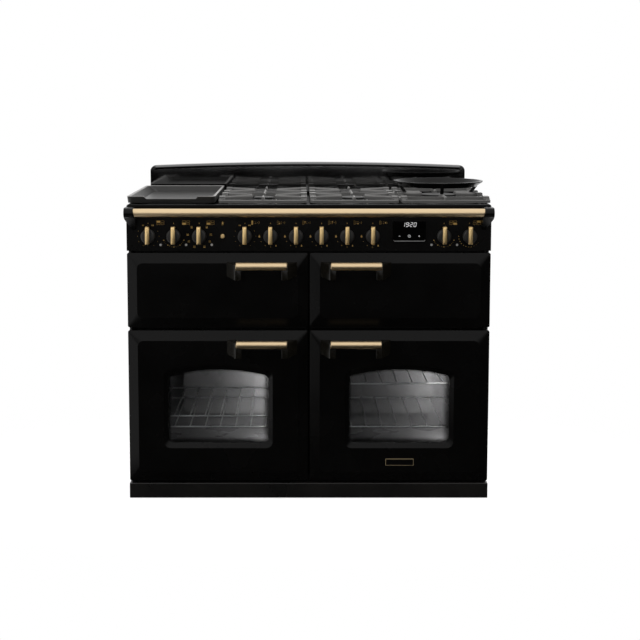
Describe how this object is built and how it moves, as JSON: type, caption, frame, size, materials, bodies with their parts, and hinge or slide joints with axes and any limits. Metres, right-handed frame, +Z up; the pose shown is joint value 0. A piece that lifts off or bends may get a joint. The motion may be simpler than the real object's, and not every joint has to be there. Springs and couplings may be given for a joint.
{
  "type": "range cooker",
  "caption": "Free-standing dual-fuel range cooker in black enamel with brass rail, side-hung oven doors with arched windows, gas hob with cast supports, griddle and wok ring.",
  "frame": {"origin": "floor level under the middle of the cooker's bounding box", "axes": "+X to the cooker's right as seen from the front, +Y towards the wall behind it, +Z up"},
  "size_m": [1.111, 0.661, 0.9999],
  "materials": {
    "black_enamel": "gloss",
    "oven_enamel": "gloss",
    "zinc_steel": "dull",
    "bright_wire": "bright",
    "bare_aluminium": "satin",
    "brass": "satin",
    "cast_iron": "matt enamel",
    "door_glass": "tinted",
    "ceramic_glass": "gloss",
    "display_glass": "gloss",
    "lamp_lens": "clear",
    "dark_plastic": "satin",
    "seal_rubber": "matt"
  },
  "bodies": {
    "cabinet": {"side_panels": "black_enamel", "back_panel": "zinc_steel", "base_pan": "zinc_steel", "levelling_feet": "zinc_steel", "plinth": "black_enamel", "front_frame": "black_enamel", "lower_oven_liners": "oven_enamel", "upper_oven_liners": "oven_enamel", "door_seals": "seal_rubber", "door_hinges": "zinc_steel", "hob_tray": "black_enamel", "rear_upstand": "black_enamel", "control_panel": "black_enamel", "hand_rail": "brass", "clock_display": "display_glass", "indicator_lamps": "lamp_lens", "gas_pipework": "bare_aluminium", "gas_taps": "brass", "rotary_switches": "dark_plastic", "burner_bodies": "bare_aluminium", "burner_caps": "oven_enamel", "ceramic_zone": "ceramic_glass", "heating_elements": "zinc_steel", "grill_pan": "oven_enamel", "oven_racks": "bright_wire", "fan_covers": "oven_enamel", "fan_motors": "zinc_steel"},
    "left_oven_door": {"left_oven_door_panel": "black_enamel", "left_oven_door_liner": "oven_enamel", "left_oven_door_glass": "door_glass", "left_oven_door_handle": "brass"},
    "right_oven_door": {"right_oven_door_panel": "black_enamel", "right_oven_door_liner": "oven_enamel", "right_oven_door_glass": "door_glass", "right_oven_door_handle": "brass"},
    "grill_door": {"grill_door_panel": "black_enamel", "grill_door_liner": "oven_enamel", "grill_door_handle": "brass"},
    "slow_oven_door": {"slow_oven_door_panel": "black_enamel", "slow_oven_door_liner": "oven_enamel", "slow_oven_door_handle": "brass"},
    "knob_grill": {"knob_grill": "dark_plastic"},
    "knob_left_oven_heat": {"knob_left_oven_heat": "dark_plastic"},
    "knob_left_oven_function": {"knob_left_oven_function": "dark_plastic"},
    "knob_griddle_zone": {"knob_griddle_zone": "dark_plastic"},
    "knob_burner_left_front": {"knob_burner_left_front": "dark_plastic"},
    "knob_burner_left_rear": {"knob_burner_left_rear": "dark_plastic"},
    "knob_burner_centre_rear": {"knob_burner_centre_rear": "dark_plastic"},
    "knob_burner_centre_front": {"knob_burner_centre_front": "dark_plastic"},
    "knob_burner_wok": {"knob_burner_wok": "dark_plastic"},
    "knob_right_oven": {"knob_right_oven": "dark_plastic"},
    "knob_slow_oven": {"knob_slow_oven": "dark_plastic"},
    "push_button": {"push_button": "brass"},
    "left_oven_fan": {"left_oven_fan": "bare_aluminium"},
    "right_oven_fan": {"right_oven_fan": "bare_aluminium"},
    "griddle": {"griddle": "cast_iron"},
    "left_pan_support": {"left_pan_support": "cast_iron"},
    "centre_pan_support": {"centre_pan_support": "cast_iron"},
    "right_pan_support": {"right_pan_support": "cast_iron"},
    "wok_ring": {"wok_ring": "cast_iron"}
  },
  "joints": [
    {"name": "left_oven_door_hinge", "type": "hinge", "parent": "cabinet", "child": "left_oven_door", "pos_m": [-0.534, -0.2565, 0.2865], "axis": [0, 0, -1], "range_deg": [0, 100]},
    {"name": "right_oven_door_hinge", "type": "hinge", "parent": "cabinet", "child": "right_oven_door", "pos_m": [0.534, -0.2565, 0.2865], "axis": [0, 0, 1], "range_deg": [0, 100]},
    {"name": "grill_door_hinge", "type": "hinge", "parent": "cabinet", "child": "grill_door", "pos_m": [-0.534, -0.2565, 0.642], "axis": [0, 0, -1], "range_deg": [0, 100]},
    {"name": "slow_oven_door_hinge", "type": "hinge", "parent": "cabinet", "child": "slow_oven_door", "pos_m": [0.534, -0.2565, 0.642], "axis": [0, 0, 1], "range_deg": [0, 100]},
    {"name": "knob_grill_turn", "type": "hinge", "parent": "cabinet", "child": "knob_grill", "pos_m": [-0.481, -0.2695, 0.806], "axis": [0, -1, 0], "range_deg": [-165, 165]},
    {"name": "knob_left_oven_heat_turn", "type": "hinge", "parent": "cabinet", "child": "knob_left_oven_heat", "pos_m": [-0.4045, -0.2695, 0.806], "axis": [0, -1, 0], "range_deg": [-255, 0]},
    {"name": "knob_left_oven_function_turn", "type": "hinge", "parent": "cabinet", "child": "knob_left_oven_function", "pos_m": [-0.328, -0.2695, 0.806], "axis": [0, -1, 0], "continuous": true},
    {"name": "knob_griddle_zone_turn", "type": "hinge", "parent": "cabinet", "child": "knob_griddle_zone", "pos_m": [-0.19125, -0.2695, 0.806], "axis": [0, -1, 0], "range_deg": [-165, 165]},
    {"name": "knob_burner_left_front_turn", "type": "hinge", "parent": "cabinet", "child": "knob_burner_left_front", "pos_m": [-0.11475, -0.2695, 0.806], "axis": [0, -1, 0], "range_deg": [0, 210]},
    {"name": "knob_burner_left_rear_turn", "type": "hinge", "parent": "cabinet", "child": "knob_burner_left_rear", "pos_m": [-0.03825, -0.2695, 0.806], "axis": [0, -1, 0], "range_deg": [0, 210]},
    {"name": "knob_burner_centre_rear_turn", "type": "hinge", "parent": "cabinet", "child": "knob_burner_centre_rear", "pos_m": [0.03825, -0.2695, 0.806], "axis": [0, -1, 0], "range_deg": [0, 210]},
    {"name": "knob_burner_centre_front_turn", "type": "hinge", "parent": "cabinet", "child": "knob_burner_centre_front", "pos_m": [0.11475, -0.2695, 0.806], "axis": [0, -1, 0], "range_deg": [0, 210]},
    {"name": "knob_burner_wok_turn", "type": "hinge", "parent": "cabinet", "child": "knob_burner_wok", "pos_m": [0.19125, -0.2695, 0.806], "axis": [0, -1, 0], "range_deg": [0, 210]},
    {"name": "knob_right_oven_turn", "type": "hinge", "parent": "cabinet", "child": "knob_right_oven", "pos_m": [0.4045, -0.2695, 0.806], "axis": [0, -1, 0], "range_deg": [-255, 0]},
    {"name": "knob_slow_oven_turn", "type": "hinge", "parent": "cabinet", "child": "knob_slow_oven", "pos_m": [0.481, -0.2695, 0.806], "axis": [0, -1, 0], "range_deg": [-270, 0]},
    {"name": "push_button_press", "type": "slide", "parent": "cabinet", "child": "push_button", "axis": [0, 1, 0], "range_m": [0, 0.003], "stiffness_N_per_m": 300},
    {"name": "left_oven_fan_spin", "type": "hinge", "parent": "cabinet", "child": "left_oven_fan", "pos_m": [-0.273, 0.2, 0.287], "axis": [0, 1, 0], "continuous": true},
    {"name": "right_oven_fan_spin", "type": "hinge", "parent": "cabinet", "child": "right_oven_fan", "pos_m": [0.273, 0.2, 0.287], "axis": [0, 1, 0], "continuous": true},
    {"name": "griddle_lift", "type": "slide", "parent": "cabinet", "child": "griddle", "axis": [0, 0, 1], "range_m": [0, 0.15]},
    {"name": "left_pan_support_lift", "type": "slide", "parent": "cabinet", "child": "left_pan_support", "axis": [0, 0, 1], "range_m": [0, 0.15]},
    {"name": "centre_pan_support_lift", "type": "slide", "parent": "cabinet", "child": "centre_pan_support", "axis": [0, 0, 1], "range_m": [0, 0.15]},
    {"name": "right_pan_support_lift", "type": "slide", "parent": "cabinet", "child": "right_pan_support", "axis": [0, 0, 1], "range_m": [0, 0.15]},
    {"name": "wok_ring_lift", "type": "slide", "parent": "right_pan_support", "child": "wok_ring", "axis": [0, 0, 1], "range_m": [0, 0.15]}
  ]
}
